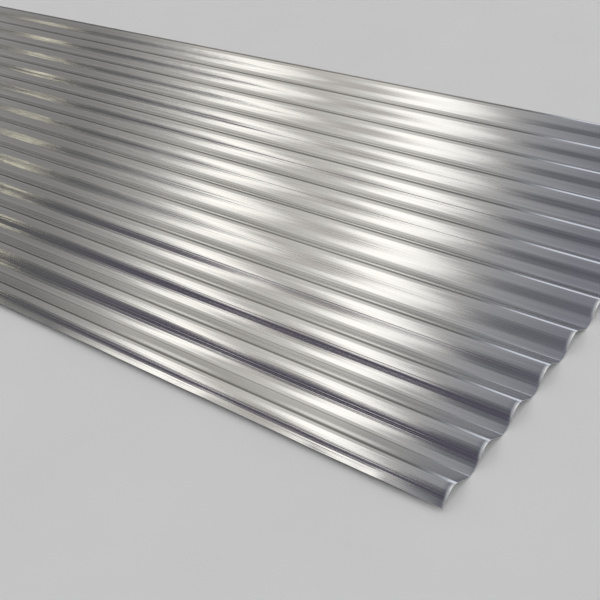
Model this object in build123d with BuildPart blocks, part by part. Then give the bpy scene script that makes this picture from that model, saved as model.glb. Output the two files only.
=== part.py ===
"""A single sheet of corrugated roofing steel, lying flat with its waves along X.

+X runs along the length, +Y across the waves and +Z up. The origin is on the ground
under the middle of the sheet. All sizes are in millimetres.
"""
from build123d import *
from math import atan2, degrees
import os

# Driving dimensions
sheet_length = 2440.0
sheet_thickness = 0.5
wave_pitch = 76.2       # from one crest to the next
wave_depth = 18.5       # from crest to trough, on one face of the sheet
crest_count = 12
flank_length = 16.0     # the straight metal between a crest's bend and a trough's
near_edge_reach = 25.4  # from the middle of the first crest to the long edge on -Y
far_edge_reach = 36.4   # from the middle of the last crest to the long edge on +Y

# The bends of the crests and troughs are alike. Their radius, at the middle of the
# metal, is the one at which the straight flanks run on from them without a corner.
half_pitch = wave_pitch / 2
bend_radius = (half_pitch**2 + wave_depth**2 - flank_length**2) / (4 * wave_depth)
flank_angle = degrees(
    atan2(2 * bend_radius, flank_length) - atan2(2 * bend_radius - wave_depth, half_pitch)
)

# Heights at the middle of the metal, with the troughs' undersides on the ground
trough_z = sheet_thickness / 2
crest_z = trough_z + wave_depth

# Places across the sheet
sheet_width = (crest_count - 1) * wave_pitch + near_edge_reach + far_edge_reach
sheet_height = wave_depth + sheet_thickness
first_crest_y = near_edge_reach - sheet_width / 2


# The rolled sheet: the wave is drawn one crest wider on each side than the sheet,
# given its thickness, trimmed to width and run out along the whole length
with BuildPart() as corrugated_sheet:
    with BuildSketch(Plane.YZ) as section:
        with BuildLine() as middle_line:
            for number in range(-1, crest_count + 1):
                crest_y = first_crest_y + number * wave_pitch
                trough_y = crest_y + half_pitch
                crest = CenterArc(
                    (crest_y, crest_z - bend_radius), bend_radius, 90 - flank_angle, 2 * flank_angle
                )
                trough = CenterArc(
                    (trough_y, trough_z + bend_radius), bend_radius, 270 - flank_angle, 2 * flank_angle
                )
                Line(crest @ 0, trough @ 0)
                Line(trough @ 1, crest @ 1 + Vector(wave_pitch, 0))
        trace(line_width=sheet_thickness)
        with Locations((0, sheet_height / 2)):
            Rectangle(sheet_width, 2 * sheet_height, mode=Mode.INTERSECT)
    extrude(amount=sheet_length / 2, both=True)

corrugated_sheet.part.label = "corrugated_sheet"

os.makedirs("parts", exist_ok=True)
export_step(corrugated_sheet.part, "parts/corrugated_sheet.step")
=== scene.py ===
"""The looks of a single sheet of corrugated roofing steel, lying on a pale studio floor.

The sheet's form is a Geometry Nodes tree: a wave of one pitch and depth, run out along X,
with the small unevenness that rolling and shearing leave. Its finish is a bright metallic
coating, streaked along the rolling direction. Sizes are in metres.
"""
import bpy
from math import cos, pi, radians, sin
from mathutils import Matrix, Vector


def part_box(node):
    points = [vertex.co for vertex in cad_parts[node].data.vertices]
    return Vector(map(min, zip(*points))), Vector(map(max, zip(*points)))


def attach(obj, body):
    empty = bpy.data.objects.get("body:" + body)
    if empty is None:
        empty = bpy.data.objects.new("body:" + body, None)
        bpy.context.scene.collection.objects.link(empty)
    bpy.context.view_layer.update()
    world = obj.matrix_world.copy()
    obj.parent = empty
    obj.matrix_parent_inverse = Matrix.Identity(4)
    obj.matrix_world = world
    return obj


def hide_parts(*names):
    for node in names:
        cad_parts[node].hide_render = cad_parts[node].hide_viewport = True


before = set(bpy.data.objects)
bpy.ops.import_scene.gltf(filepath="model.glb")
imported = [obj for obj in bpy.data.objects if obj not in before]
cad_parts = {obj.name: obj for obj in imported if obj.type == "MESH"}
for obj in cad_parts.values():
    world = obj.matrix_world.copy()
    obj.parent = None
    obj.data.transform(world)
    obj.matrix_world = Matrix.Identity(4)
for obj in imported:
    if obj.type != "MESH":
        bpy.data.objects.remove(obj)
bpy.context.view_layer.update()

# The sheet's place and size, from the frame
LOW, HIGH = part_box("corrugated_sheet")
LENGTH = HIGH.x - LOW.x
WIDTH = HIGH.y - LOW.y
HEIGHT = HIGH.z - LOW.z

# The wave
PITCH = 0.0762
THICKNESS = 0.0005
DEPTH = HEIGHT - THICKNESS
NEAR_REACH = 0.0254     # from the long edge on -Y to the first crest

# The share of a third harmonic in the wave, by the share of the way across the sheet: above 0
# the flanks are steeper than a plain wave's, and below 0 flatter
STEEPNESS = (
    (0.00, -0.046), (0.09, -0.022), (0.18, -0.007), (0.26, -0.009), (0.35, -0.011),
    (0.43, -0.005), (0.52, 0.013), (0.60, 0.026), (0.68, 0.034), (0.77, 0.037),
    (0.85, 0.044), (0.94, 0.040), (1.00, 0.036),
)

# The outermost waves on -Y are flatter by this much more, away from the end on +X
OUTER_FLATTENING = 0.014
OUTER_SHARE = (0.08, 0.22)      # the share of the way across over which this fades out
OUTER_X = (0.45, 0.95)          # the places along X over which this fades out

# How much closer together the rows of faces lie towards the two ends
ROW_CROWDING = 0.48

# The metal's length across the sheet over the sheet's width, and how far the two stray from
# even within a wave
DEVELOPED_SHARE = 1.13
DEVELOPED_SWING = 0.065

# Points closer than this are one, and an edge bent by more than this angle stays sharp
SEAM = 0.00001
SHARP_ANGLE = radians(40)

# The height of the finish's relief, for a pattern's whole range taken once
RELIEF = 0.00002

# The tones of the floor, how far it reaches each way and how far it lies below the sheet
FLOOR_TONES = (0.90, 0.92)
FLOOR_REACH = 40.0
FLOOR_GAP = 0.0002

# The two soft strips overhead: where each one's middle lies and half its width along X, as
# shares of the height to the ceiling, and how far outside and inside of that its edges fade
STRIPS = ((-0.832, 0.061), (-0.560, 0.060))
STRIP_EDGES = (0.034, -0.024)

# The roll at which the dark beyond the strips begins, and how much sooner it does over the
# nearer ones
DARK_FROM = 115.3
DARK_SOONER = 2.7

# The tone below the horizon
LOW_TONE = (0.75, 0.75, 0.75)

# The camera, found from the photograph: its focal length over the picture's width, its
# place, and the way it looks as a heading from +X, a dip below level and a lean
FOCAL_SHARE = 980 / 600
SENSOR = 0.036
CAMERA_PLACE = Vector((1.614, -1.0555, 0.832))
CAMERA_HEADING = radians(132.52)
CAMERA_DIP = radians(36.16)
CAMERA_LEAN = radians(-8.46)


# Helpers for node trees

def link_or_set(tree, socket, value):
    """Joins a socket to another node's output, or sets it to a plain value."""
    if isinstance(value, bpy.types.NodeSocket):
        tree.links.new(value, socket)
    else:
        socket.default_value = value


def calculate(tree, operation, *values, clamp=False):
    """A Math node; returns its output."""
    node = tree.nodes.new("ShaderNodeMath")
    node.operation = operation
    node.use_clamp = clamp
    for socket, value in zip(node.inputs, values):
        link_or_set(tree, socket, value)
    return node.outputs[0]


def combine(tree, x, y, z):
    node = tree.nodes.new("ShaderNodeCombineXYZ")
    for socket, value in zip(node.inputs, (x, y, z)):
        link_or_set(tree, socket, value)
    return node.outputs[0]


def separate(tree, vector):
    node = tree.nodes.new("ShaderNodeSeparateXYZ")
    link_or_set(tree, node.inputs[0], vector)
    return node.outputs


def multiply_parts(tree, first, second):
    """Two vectors or colours, multiplied part by part."""
    node = tree.nodes.new("ShaderNodeVectorMath")
    node.operation = "MULTIPLY"
    for socket, value in zip(node.inputs, (first, second)):
        link_or_set(tree, socket, value)
    return node.outputs[0]


def noise(tree, vector, times, detail):
    """Soft noise around 0.5.

    Each part of the vector is first multiplied by its own number, so that the pattern can be
    longer one way than another.
    """
    node = tree.nodes.new("ShaderNodeTexNoise")
    link_or_set(tree, node.inputs["Vector"], multiply_parts(tree, vector, times))
    node.inputs["Scale"].default_value = 1.0
    node.inputs["Detail"].default_value = detail
    return node.outputs[0]


def remap(tree, value, low, high, to_low, to_high, smooth=False):
    node = tree.nodes.new("ShaderNodeMapRange")
    node.interpolation_type = "SMOOTHSTEP" if smooth else "LINEAR"
    for name, given in zip(
        ("Value", "From Min", "From Max", "To Min", "To Max"), (value, low, high, to_low, to_high)
    ):
        link_or_set(tree, node.inputs[name], given)
    return node.outputs[0]


def spread(tree, pattern, to_low, to_high):
    """Noise, spread over a range of its own."""
    return remap(tree, pattern, 0.3, 0.7, to_low, to_high)


def set_grey(tree, socket, tone):
    """Gives a colour socket one tone for red, green and blue."""
    colour = tree.nodes.new("ShaderNodeCombineColor")
    for part in colour.inputs[:3]:
        tree.links.new(tone, part)
    tree.links.new(colour.outputs[0], socket)


# The sheet's form

def add_input(tree, name, kind, value):
    socket = tree.interface.new_socket(name=name, in_out="INPUT", socket_type=kind)
    socket.default_value = value
    return socket.identifier


def build_sheet_tree():
    """The tree that makes the sheet, and the identifiers of its inputs by name."""
    tree = bpy.data.node_groups.new("corrugated_sheet_form", "GeometryNodeTree")
    names = {}
    for name, value in (
        ("Length", 1.0), ("Width", 1.0), ("Pitch", 0.1), ("Depth", 0.01), ("Thickness", 0.001),
        ("Outer Crest", 0.0), ("Unevenness", 0.0), ("Flank Unevenness", 0.0),
        ("Outer Flattening", 0.0), ("End Roll-over", 0.0), ("Roll-over Width", 0.004),
        ("Edge Flare", 0.0), ("Edge Width", 0.01),
    ):
        names[name] = add_input(tree, name, "NodeSocketFloat", value)
    names["Steps Along"] = add_input(tree, "Steps Along", "NodeSocketInt", 10)
    names["Steps Across"] = add_input(tree, "Steps Across", "NodeSocketInt", 10)
    names["Seed"] = add_input(tree, "Seed", "NodeSocketFloat", 0.0)
    names["Material"] = tree.interface.new_socket(
        name="Material", in_out="INPUT", socket_type="NodeSocketMaterial"
    ).identifier
    tree.interface.new_socket(name="Geometry", in_out="OUTPUT", socket_type="NodeSocketGeometry")
    given = tree.nodes.new("NodeGroupInput").outputs

    def calc(operation, *values, clamp=False):
        return calculate(tree, operation, *values, clamp=clamp)

    half_length, half_width, half_thickness = (
        calc("MULTIPLY", given[name], 0.5) for name in ("Length", "Width", "Thickness")
    )
    steps = given["Steps Across"]
    both_faces = calc("MULTIPLY", steps, 2)

    # A flat grid whose rows run along the sheet and whose columns go once around its section.
    # The outermost rows close the two ends, and the last column closes the section.
    rows = calc("ADD", given["Steps Along"], 3)
    columns = calc("ADD", both_faces, 3)
    grid = tree.nodes.new("GeometryNodeMeshGrid")
    grid.inputs["Size X"].default_value = 1.0
    grid.inputs["Size Y"].default_value = 1.0
    tree.links.new(rows, grid.inputs["Vertices X"])
    tree.links.new(columns, grid.inputs["Vertices Y"])
    place = separate(tree, tree.nodes.new("GeometryNodeInputPosition").outputs[0])
    row, column = (
        calc("ROUND", calc("MULTIPLY", calc("ADD", part, 0.5), calc("SUBTRACT", count, 1)))
        for part, count in ((place[0], rows), (place[1], columns))
    )

    # Along the sheet, from -1 to 1, with the rows closer together towards the ends
    inner_row = calc("DIVIDE", calc("SUBTRACT", row, 1), given["Steps Along"], clamp=True)
    even = calc("SUBTRACT", calc("MULTIPLY", inner_row, 2), 1)
    cube = calc("MULTIPLY", calc("MULTIPLY", even, even), even)
    spaced = calc("MULTIPLY", even, 1 + ROW_CROWDING)
    along = calc("SUBTRACT", spaced, calc("MULTIPLY", cube, ROW_CROWDING))
    x = calc("MULTIPLY", along, half_length)

    # Around the section: out over the top face, then back along the underside
    outward = calc("DIVIDE", column, steps)
    back = calc("DIVIDE", calc("SUBTRACT", calc("ADD", both_faces, 1), column), steps)
    under = calc("GREATER_THAN", column, calc("ADD", steps, 0.5))
    wrapped = calc("GREATER_THAN", column, calc("ADD", both_faces, 1.5))
    outward = calc("MULTIPLY", outward, calc("SUBTRACT", 1, under))
    across = calc("MAXIMUM", calc("ADD", outward, calc("MULTIPLY", back, under)), 0.0)
    y = calc("MULTIPLY", calc("SUBTRACT", across, 0.5), given["Width"])
    side = calc("SUBTRACT", 1, calc("MULTIPLY", calc("SUBTRACT", under, wrapped), 2))
    middle_row = calc("MULTIPLY", calc("SUBTRACT", rows, 1), 0.5)
    from_middle = calc("ABSOLUTE", calc("SUBTRACT", row, middle_row))
    end_row = calc("GREATER_THAN", from_middle, calc("SUBTRACT", middle_row, 0.5))
    side = calc("MULTIPLY", side, calc("SUBTRACT", 1, end_row))

    # The unevenness of rolling: each wave a little flatter in places, and a slow sideways sway
    seeded = combine(tree, calc("ADD", x, given["Seed"]), y, given["Seed"])
    flattening = noise(tree, seeded, (2.2, 9.0, 1.0), 2.0)
    sway = calc("SUBTRACT", noise(tree, seeded, (1.6, 3.0, 1.0), 1.0), 0.5)
    less_deep = calc("MULTIPLY", flattening, given["Unevenness"])
    turn = calc("DIVIDE", 2 * pi, given["Pitch"])
    swayed = calc("MULTIPLY", sway, given["Unevenness"])
    shifted = calc("ADD", calc("SUBTRACT", y, given["Outer Crest"]), swayed)
    phase = calc("MULTIPLY", shifted, turn)

    # The wave at the middle of the metal, and its slope
    half_depth = calc("MULTIPLY", calc("SUBTRACT", given["Depth"], less_deep), 0.5)
    middle = calc("ADD", half_thickness, calc("MULTIPLY", given["Depth"], 0.5))
    curve = tree.nodes.new("ShaderNodeFloatCurve")
    points = curve.mapping.curves[0].points
    while len(points) < len(STEEPNESS):
        points.new(0.5, 0.5)
    # A curve holds values between 0 and 1, so these are kept 5 times over, around 0.5
    for point, (at, value) in zip(points, STEEPNESS):
        point.location = (at, 0.5 + 5 * value)
    curve.mapping.update()
    link_or_set(tree, curve.inputs["Value"], across)
    steeper = calc("DIVIDE", calc("SUBTRACT", curve.outputs[0], 0.5), 5)
    drift = calc("SUBTRACT", noise(tree, seeded, (1.1, 16.0, 1.0), 2.0), 0.5)
    steeper = calc("ADD", steeper, calc("MULTIPLY", drift, given["Flank Unevenness"]))
    outermost = remap(tree, across, *OUTER_SHARE, 1.0, 0.0, smooth=True)
    inward = remap(tree, x, *OUTER_X, 1.0, 0.0, smooth=True)
    flatter = calc("MULTIPLY", calc("MULTIPLY", outermost, inward), given["Outer Flattening"])
    steeper = calc("SUBTRACT", steeper, flatter)
    at_crest = calc("SUBTRACT", 1, steeper)
    tripled = calc("MULTIPLY", phase, 3)
    harmonic = calc("MULTIPLY", steeper, calc("COSINE", tripled))
    wave = calc("DIVIDE", calc("SUBTRACT", calc("COSINE", phase), harmonic), at_crest)
    harmonic_slope = calc("MULTIPLY", calc("MULTIPLY", steeper, 3), calc("SINE", tripled))
    wave_slope = calc("DIVIDE", calc("SUBTRACT", harmonic_slope, calc("SINE", phase)), at_crest)
    rise = calc("MULTIPLY", half_depth, wave)
    slope = calc("MULTIPLY", calc("MULTIPLY", half_depth, turn), wave_slope)

    # The shear's roll-over: the last of each end bends down, more on crests than in troughs
    to_end = calc("SUBTRACT", half_length, calc("ABSOLUTE", x))
    bent = calc("SUBTRACT", 1, calc("DIVIDE", to_end, given["Roll-over Width"]), clamp=True)
    height_share = calc("DIVIDE", calc("ADD", rise, half_depth), given["Depth"])
    most_drop = calc("MULTIPLY", given["End Roll-over"], height_share)
    drop = calc("MULTIPLY", calc("MULTIPLY", bent, bent), most_drop)

    # The long edges, lifted a little unevenly where the sheet was slit to width
    from_edge = calc("SUBTRACT", half_width, calc("ABSOLUTE", y))
    lifted = calc("SUBTRACT", 1, calc("DIVIDE", from_edge, given["Edge Width"]), clamp=True)
    ripple = remap(tree, noise(tree, seeded, (10.0, 2.0, 1.0), 2.0), 0.35, 0.7, 0.0, 1.0)
    lift = calc("MULTIPLY", calc("MULTIPLY", lifted, lifted), ripple)
    drop = calc("SUBTRACT", drop, calc("MULTIPLY", lift, given["Edge Flare"]))

    # Half the thickness to each side of the middle, square to the wave
    steepness = calc("SQRT", calc("ADD", calc("MULTIPLY", slope, slope), 1))
    offset = calc("DIVIDE", calc("MULTIPLY", half_thickness, side), steepness)
    new_y = calc("SUBTRACT", y, calc("MULTIPLY", offset, slope))
    new_y = calc("MAXIMUM", calc("MINIMUM", new_y, half_width), calc("MULTIPLY", half_width, -1))
    new_z = calc("SUBTRACT", calc("ADD", calc("ADD", middle, rise), offset), drop)
    moved = tree.nodes.new("GeometryNodeSetPosition")
    tree.links.new(grid.outputs["Mesh"], moved.inputs["Geometry"])
    tree.links.new(combine(tree, x, new_y, new_z), moved.inputs["Position"])

    # A map of the developed face, across and along, for the finish to follow
    swing = calc("MULTIPLY", calc("SINE", calc("MULTIPLY", phase, 2)), DEVELOPED_SWING)
    developed = calc("SUBTRACT", calc("MULTIPLY", y, DEVELOPED_SHARE), calc("DIVIDE", swing, turn))
    stored = tree.nodes.new("GeometryNodeStoreNamedAttribute")
    stored.data_type = "FLOAT2"
    stored.domain = "CORNER"
    stored.inputs["Name"].default_value = "UVMap"
    tree.links.new(moved.outputs[0], stored.inputs["Geometry"])
    tree.links.new(combine(tree, developed, x, 0.0), stored.inputs["Value"])

    # Close the seams, keep the sheared edges sharp and the faces smooth
    merged = tree.nodes.new("GeometryNodeMergeByDistance")
    merged.inputs["Distance"].default_value = SEAM
    tree.links.new(stored.outputs[0], merged.inputs["Geometry"])
    smooth = tree.nodes.new("GeometryNodeSetShadeSmooth")
    tree.links.new(merged.outputs[0], smooth.inputs["Geometry"])
    sharp = tree.nodes.new("GeometryNodeStoreNamedAttribute")
    sharp.data_type = "BOOLEAN"
    sharp.domain = "EDGE"
    sharp.inputs["Name"].default_value = "sharp_edge"
    tree.links.new(smooth.outputs[0], sharp.inputs["Geometry"])
    edge_angle = tree.nodes.new("GeometryNodeInputMeshEdgeAngle").outputs["Unsigned Angle"]
    tree.links.new(calc("GREATER_THAN", edge_angle, SHARP_ANGLE), sharp.inputs["Value"])

    realized = tree.nodes.new("GeometryNodeRealizeInstances")
    tree.links.new(sharp.outputs[0], realized.inputs[0])
    coated = tree.nodes.new("GeometryNodeSetMaterial")
    tree.links.new(realized.outputs[0], coated.inputs["Geometry"])
    tree.links.new(given["Material"], coated.inputs["Material"])
    output = tree.nodes.new("NodeGroupOutput")
    tree.links.new(coated.outputs[0], output.inputs[0])
    return tree, names


def make_sheet(material):
    tree, names = build_sheet_tree()
    carrier = bpy.data.objects.new("sheet_carrier", bpy.data.meshes.new("sheet_carrier"))
    bpy.context.scene.collection.objects.link(carrier)
    modifier = carrier.modifiers.new("form", "NODES")
    modifier.node_group = tree
    for name, value in (
        ("Length", LENGTH), ("Width", WIDTH), ("Pitch", PITCH), ("Depth", DEPTH),
        ("Thickness", THICKNESS), ("Outer Crest", NEAR_REACH - WIDTH / 2),
        ("Unevenness", 0.0005), ("Flank Unevenness", 0.012),
        ("Outer Flattening", OUTER_FLATTENING),
        ("End Roll-over", 0.0009), ("Roll-over Width", 0.007),
        ("Edge Flare", 0.0015), ("Edge Width", 0.009),
        ("Steps Along", 150), ("Steps Across", 312), ("Seed", 3.0), ("Material", material),
    ):
        modifier[names[name]] = value
    bpy.context.view_layer.update()
    evaluated = carrier.evaluated_get(bpy.context.evaluated_depsgraph_get())
    mesh = bpy.data.meshes.new_from_object(evaluated)
    bpy.data.objects.remove(carrier)
    sheet = bpy.data.objects.new("roofing_sheet", mesh)
    bpy.context.scene.collection.objects.link(sheet)
    return sheet


# The finish

def make_coated_steel():
    """Bright metallic coating on rolled steel, with streaks along the sheet."""
    material = bpy.data.materials.new("zinc_coated_steel")
    material.use_nodes = True
    tree = material.node_tree
    shader = tree.nodes["Principled BSDF"]
    shader.inputs["Metallic"].default_value = 1.0
    shader.inputs["Anisotropic"].default_value = 0.2

    uv = tree.nodes.new("ShaderNodeUVMap")
    uv.uv_map = "UVMap"
    flat = uv.outputs[0]
    tree.links.new(combine(tree, 0.0, 1.0, 0.0), shader.inputs["Tangent"])

    # Patterns over the developed face, with their waves in each metre across and along it
    lines = noise(tree, flat, (420, 0.7, 1), 2.0)
    streaks = noise(tree, flat, (130, 0.9, 1), 3.0)
    clouds = noise(tree, flat, (9, 2.5, 1), 3.0)
    dimples = noise(tree, flat, (70, 9, 1), 2.0)

    tone = calculate(
        tree, "ADD", spread(tree, streaks, 0.66, 0.72), spread(tree, lines, -0.045, 0.045)
    )
    set_grey(tree, shader.inputs["Base Color"], tone)

    rough = calculate(
        tree, "ADD", spread(tree, lines, 0.06, 0.10), spread(tree, clouds, -0.005, 0.015)
    )
    tree.links.new(rough, shader.inputs["Roughness"])

    # The relief: streaks and lines along the rolling direction, and shallow dimples
    height = calculate(tree, "MULTIPLY", streaks, 7.5)
    for relief, times in ((lines, 3.0), (dimples, 4.5)):
        height = calculate(tree, "ADD", height, calculate(tree, "MULTIPLY", relief, times))
    bump = tree.nodes.new("ShaderNodeBump")
    bump.inputs["Strength"].default_value = 1.0
    bump.inputs["Distance"].default_value = RELIEF
    tree.links.new(height, bump.inputs["Height"])
    tree.links.new(bump.outputs[0], shader.inputs["Normal"])
    return material


def make_floor():
    """A wide pale floor, which isn't part of the object."""
    material = bpy.data.materials.new("studio_floor")
    material.use_nodes = True
    tree = material.node_tree
    shader = tree.nodes["Principled BSDF"]
    where = tree.nodes.new("ShaderNodeTexCoord").outputs["Object"]
    grain = noise(tree, where, (6, 6, 6), 5.0)
    set_grey(tree, shader.inputs["Base Color"], spread(tree, grain, *FLOOR_TONES))
    shader.inputs["Roughness"].default_value = 0.85
    mesh = bpy.data.meshes.new("studio_floor")
    corners = [
        (x * FLOOR_REACH, y * FLOOR_REACH, LOW.z - FLOOR_GAP)
        for x, y in ((-1, -1), (1, -1), (1, 1), (-1, 1))
    ]
    mesh.from_pydata(corners, [], [(0, 1, 2, 3)])
    floor = bpy.data.objects.new("studio_floor", mesh)
    floor.data.materials.append(material)
    bpy.context.scene.collection.objects.link(floor)


# The studio

def make_world():
    """A pale studio, whose tones change with the angle from -X and with the roll about X.

    The first is called the cone here. The roll is 0 level on +Y and 90 straight up. Both are
    in degrees.
    """
    world = bpy.data.worlds.new("studio")
    bpy.context.scene.world = world
    world.use_nodes = True
    tree = world.node_tree
    background = tree.nodes["Background"]
    x, y, z = separate(tree, tree.nodes.new("ShaderNodeTexCoord").outputs["Generated"])
    cone = calculate(tree, "ARCCOSINE", calculate(tree, "MULTIPLY", x, -1))
    cone = calculate(tree, "MULTIPLY", cone, 180 / pi)
    roll = calculate(tree, "MULTIPLY", calculate(tree, "ARCTAN2", z, y), 180 / pi)

    def by_angle(angle, low, high, stops):
        """A ramp over an angle in degrees, between stops of an angle and its tone."""
        node = tree.nodes.new("ShaderNodeValToRGB")
        ramp = node.color_ramp
        ramp.interpolation = "EASE"
        for number, (at, tone) in enumerate(stops):
            place = (at - low) / (high - low)
            stop = ramp.elements[number] if number < 2 else ramp.elements.new(place)
            stop.position = place
            stop.color = (*tone, 1) if isinstance(tone, tuple) else (tone, tone, tone, 1)
        tree.links.new(remap(tree, angle, low, high, 0.0, 1.0), node.inputs[0])
        return node.outputs[0]

    def mixed(factor, first, second):
        """The first tone where the factor is 0, and the second where it is 1."""
        node = tree.nodes.new("ShaderNodeMix")
        node.data_type = "VECTOR"
        tree.links.new(factor, node.inputs["Factor"])
        link_or_set(tree, node.inputs[4], first)
        link_or_set(tree, node.inputs[5], second)
        return node.outputs[1]

    def added(share, tone, to):
        """A tone, times a share between 0 and 1, on top of another."""
        node = tree.nodes.new("ShaderNodeVectorMath")
        node.operation = "MULTIPLY_ADD"
        tree.links.new(combine(tree, share, share, share), node.inputs[0])
        node.inputs[1].default_value = tone
        tree.links.new(to, node.inputs[2])
        return node.outputs[0]

    def both(first, second):
        """1 where both are 1, and 0 where either is 0."""
        return calculate(tree, "MULTIPLY", first, second)

    def step(value, low, high):
        """From 0 at one value to 1 at another, softly."""
        return remap(tree, value, low, high, 0.0, 1.0, smooth=True)

    def band(value, low, high):
        """1 between two ends, each softened over a pair of values, and 0 outside them."""
        return both(step(value, *low), step(value, *high))

    def patch(cone_low, cone_high, roll_low, roll_high):
        """1 within a band of the cone and a band of the roll."""
        return both(band(cone, cone_low, cone_high), band(roll, roll_low, roll_high))

    # The tones by the cone: over most of the ceiling, and past the top of it
    beyond = (
        (84, (0.50, 0.51, 0.53)), (95, 1.2), (112, 0.78), (122, 1.2), (140, 0.82), (180, 0.95)
    )
    ceiling = by_angle(cone, 0, 180, (
        (0, 0.42), (34, (0.40, 0.39, 0.375)), (38.5, (0.30, 0.295, 0.29)),
        (42, (0.275, 0.27, 0.265)), (45.5, (0.42, 0.41, 0.39)), (48.5, (0.66, 0.64, 0.60)),
        (51, (0.62, 0.60, 0.56)), (54, (0.60, 0.58, 0.54)), (58, (0.74, 0.72, 0.675)),
        (61, (0.77, 0.75, 0.705)), (64.5, (0.50, 0.49, 0.475)), (68, (0.35, 0.355, 0.375)),
        (71.5, (0.26, 0.265, 0.30)), (77, (0.25, 0.26, 0.30)),
    ) + beyond)
    top = by_angle(cone, 0, 180, (
        (0, 0.30), (36, (0.22, 0.215, 0.21)), (41, 0.15), (45, 0.19), (48.5, (0.45, 0.44, 0.42)),
        (51.5, (0.62, 0.60, 0.56)), (55, (0.56, 0.54, 0.505)), (58, (0.58, 0.56, 0.525)),
        (62, (0.70, 0.68, 0.64)), (65, (0.34, 0.335, 0.33)), (68.5, (0.16, 0.165, 0.185)),
        (75, (0.15, 0.155, 0.185)),
    ) + beyond)
    tones = mixed(step(roll, 102, 110), ceiling, top)

    # Dimmer low down on the far side, with a paler line there, and the same behind the camera
    level = by_angle(roll, -180, 180, (
        (-180, 0.9), (-60, 0.95), (-30, 1.05), (-13, 0.78), (1, 0.44), (12, 0.34), (28, 0.36),
        (37, 0.90), (47, 1.16), (62, 1.02), (85, 1.0), (115, 1.02), (130, 0.95), (145, 0.50),
        (165, 0.42), (180, 0.9),
    ))
    level_behind = by_angle(roll, -180, 180, (
        (-180, 0.9), (-130, 0.6), (-60, 0.9), (-10, 0.75), (20, 0.5), (45, 1.0), (66, 0.85),
        (78, 0.56), (93, 0.56), (106, 0.95), (128, 1.1), (143, 0.45), (163, 0.34), (180, 0.9),
    ))
    level = mixed(step(cone, 92, 104), level, level_behind)
    line = both(band(roll, (-9, -4), (7, 2)), step(x, -0.37, -0.42))
    tones = added(line, (0.42, 0.40, 0.35), multiply_parts(tree, tones, level))

    # The two strips, the light that spills past their ends, and the dark beyond
    up = calculate(tree, "MAXIMUM", z, 0.01)
    along, aside = calculate(tree, "DIVIDE", x, up), calculate(tree, "DIVIDE", y, up)
    strips = 0.0
    for middle, half_width in STRIPS:
        off = calculate(tree, "ABSOLUTE", calculate(tree, "SUBTRACT", along, middle))
        outer, inner = (half_width + edge for edge in STRIP_EDGES)
        strips = calculate(tree, "ADD", strips, step(off, outer, inner))
    strips = both(strips, step(aside, 0.48, 0.18))
    tones = added(strips, (0.75, 0.735, 0.70), tones)
    spill = both(step(roll, 97, 103), band(cone, (42.5, 49), (53, 50)))
    tones = added(spill, (0.24, 0.235, 0.22), tones)
    nearer = band(cone, (38, 46.5), (54.5, 49.5))
    edge = calculate(tree, "SUBTRACT", DARK_FROM, both(nearer, DARK_SOONER))
    softness = remap(tree, cone, 49, 54, 2.6, 0.35, smooth=True)
    past = calculate(tree, "DIVIDE", calculate(tree, "SUBTRACT", roll, edge), softness)
    dark = both(both(step(past, -1, 1), step(x, -0.15, -0.25)), step(z, 0.25, 0.40))
    dark_tones = mixed(step(cone, 41, 50), (0.115, 0.112, 0.12), (0.10, 0.092, 0.125))
    tones = mixed(dark, tones, dark_tones)

    # A small warm lamp near the strips' near ends
    warm = patch((38.4, 39.1), (40.2, 39.5), (105, 110), (116, 112))
    tones = added(warm, (1.25, 1.18, 0.88), tones)

    # A side window low down on the far side, and a fainter one below it
    window = patch((66.5, 70), (90, 84), (1, 7), (36, 27))
    tones = added(window, (0.72, 0.76, 0.84), tones)
    fainter = patch((60.5, 65.5), (90, 84), (-38, -28), (-6, -12))
    tones = added(fainter, (0.50, 0.53, 0.60), tones)

    # One plain tone below the horizon
    tones = mixed(step(z, -0.02, 0.0), LOW_TONE, tones)
    tree.links.new(tones, background.inputs["Color"])
    background.inputs["Strength"].default_value = 1.0


def make_camera():
    forward = Vector((
        cos(CAMERA_HEADING) * cos(CAMERA_DIP),
        sin(CAMERA_HEADING) * cos(CAMERA_DIP),
        -sin(CAMERA_DIP),
    ))
    level_right = forward.cross(Vector((0, 0, 1))).normalized()
    level_up = level_right.cross(forward)
    right = cos(CAMERA_LEAN) * level_right + sin(CAMERA_LEAN) * level_up
    up = cos(CAMERA_LEAN) * level_up - sin(CAMERA_LEAN) * level_right
    data = bpy.data.cameras.new("camera")
    data.sensor_width = SENSOR * 1000
    data.lens = FOCAL_SHARE * SENSOR * 1000
    data.clip_end = 200
    camera = bpy.data.objects.new("camera", data)
    turn = Matrix((right, up, -forward)).transposed()
    camera.matrix_world = Matrix.Translation(CAMERA_PLACE) @ turn.to_4x4()
    bpy.context.scene.collection.objects.link(camera)
    bpy.context.scene.camera = camera


steel = make_coated_steel()
sheet = make_sheet(steel)
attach(sheet, "root")
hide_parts("corrugated_sheet")

make_floor()
make_world()
make_camera()
bpy.context.scene.view_settings.view_transform = "Standard"
